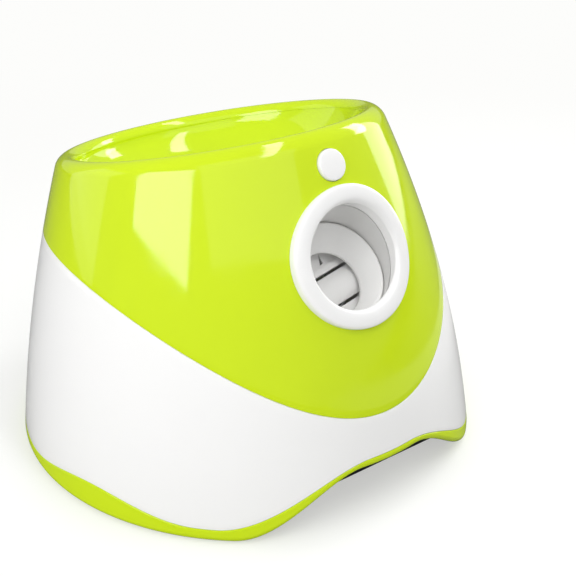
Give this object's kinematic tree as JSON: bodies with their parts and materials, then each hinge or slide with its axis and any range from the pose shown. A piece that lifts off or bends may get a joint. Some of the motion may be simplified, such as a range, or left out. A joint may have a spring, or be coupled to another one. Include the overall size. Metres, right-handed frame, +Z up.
{
  "type": "automatic dog ball launcher",
  "caption": "Bowl-topped automatic ball launcher: sprung piston in an inclined barrel, rack and sector-gear drive, feed chute, push button, battery base and arched foot band.",
  "frame": {"origin": "on the floor, under the centre of the body's outline", "axes": "+Z up; the muzzle faces -Y; +X to the launcher's left side, so that X is its longest extent"},
  "size_m": [0.274, 0.2652, 0.2005],
  "materials": {
    "lime_shell": "glossy moulded ABS, lime",
    "white_shell": "satin-gloss moulded ABS, white",
    "white_part": "moulded acetal, white",
    "black_part": "fine-grained ABS, black",
    "rubber_foot": "matt rubber",
    "steel": "turned and drawn steel",
    "spring_steel": "drawn spring wire",
    "zinc_screw": "zinc-plated",
    "brass": "turned brass and bronze",
    "cell_jacket": "plain film jacket",
    "circuit_board": "solder-masked laminate"
  },
  "bodies": {
    "housing": {"base_tray": "black_part", "rubber_feet": "rubber_foot", "base_band": "lime_shell", "lower_shell": "white_shell", "upper_shell": "lime_shell", "hopper_funnel": "lime_shell", "muzzle_ring": "white_shell", "ball_chute": "white_part", "barrel_tube": "white_part", "barrel_cap": "white_part", "frame_plate_left": "black_part", "frame_plate_right": "black_part", "gearbox_plate": "black_part", "gearbox_spacers": "steel", "gear_axles": "steel", "shaft_bushes": "brass", "drive_motor": "steel", "battery_box": "black_part", "battery_cells": "cell_jacket", "contact_plates": "zinc_screw", "contact_springs": "spring_steel", "battery_door": "black_part", "door_screw": "zinc_screw", "power_inlet": "black_part", "main_board": "circuit_board", "board_parts": "black_part", "button_guide": "black_part", "button_switch": "circuit_board", "ball_switch": "black_part", "case_screws": "zinc_screw", "frame_screws": "zinc_screw", "gearbox_screws": "zinc_screw", "main_spring": "spring_steel", "button_spring": "spring_steel", "lever_pin": "steel"},
    "sector": {"sector_gear": "white_part", "drive_wheel": "white_part", "sector_shaft": "steel", "shaft_clips": "spring_steel"},
    "piston": {"piston_cup": "white_part", "piston_rack": "white_part"},
    "second": {"second_gear": "white_part"},
    "first": {"first_gear": "white_part"},
    "motor_rotor": {"motor_pinion": "brass", "motor_shaft": "steel"},
    "button": {"power_button": "white_shell"},
    "lever": {"ball_lever": "spring_steel"}
  },
  "joints": [
    {"name": "sector_spin", "type": "hinge", "parent": "housing", "child": "sector", "pos_m": [0, -0.07573, 0.0465], "axis": [-1, 0, 0], "range_deg": [0, 197.35]},
    {"name": "piston_slide", "type": "slide", "parent": "housing", "child": "piston", "axis": [0, 0.7071, -0.7071], "range_m": [0, 0.062], "stiffness_N_per_m": 1040, "springref_m": -0.01, "deforming": ["main_spring"]},
    {"name": "second_spin", "type": "hinge", "parent": "housing", "child": "second", "pos_m": [0, -0.06848, 0.07355], "axis": [-1, 0, 0], "range_deg": [-592.1, 0]},
    {"name": "first_spin", "type": "hinge", "parent": "housing", "child": "first", "pos_m": [0, -0.04908, 0.08475], "axis": [-1, 0, 0], "range_deg": [0, 1776.2]},
    {"name": "motor_spin", "type": "hinge", "parent": "housing", "child": "motor_rotor", "pos_m": [0, -0.03037, 0.07395], "axis": [-1, 0, 0], "range_deg": [-6216.7, 0]},
    {"name": "button_press", "type": "slide", "parent": "housing", "child": "button", "axis": [0, 0.8787, -0.4774], "range_m": [0, 0.0015], "stiffness_N_per_m": 400, "springref_m": -0.0005, "deforming": ["button_spring"]},
    {"name": "lever_swing", "type": "hinge", "parent": "housing", "child": "lever", "pos_m": [-0.0352, -0.04452, 0.11668], "axis": [0, -0.8192, 0.5736], "range_deg": [0, 17], "stiffness_Nm_per_rad": 0.004, "springref_deg": -6.88}
  ],
  "couplings": [
    {"joint": "piston_slide", "follows": "sector_spin", "m_per_rad": 0.018},
    {"joint": "second_spin", "follows": "sector_spin", "ratio": -3},
    {"joint": "first_spin", "follows": "sector_spin", "ratio": 9},
    {"joint": "motor_spin", "follows": "sector_spin", "ratio": -31.5}
  ]
}
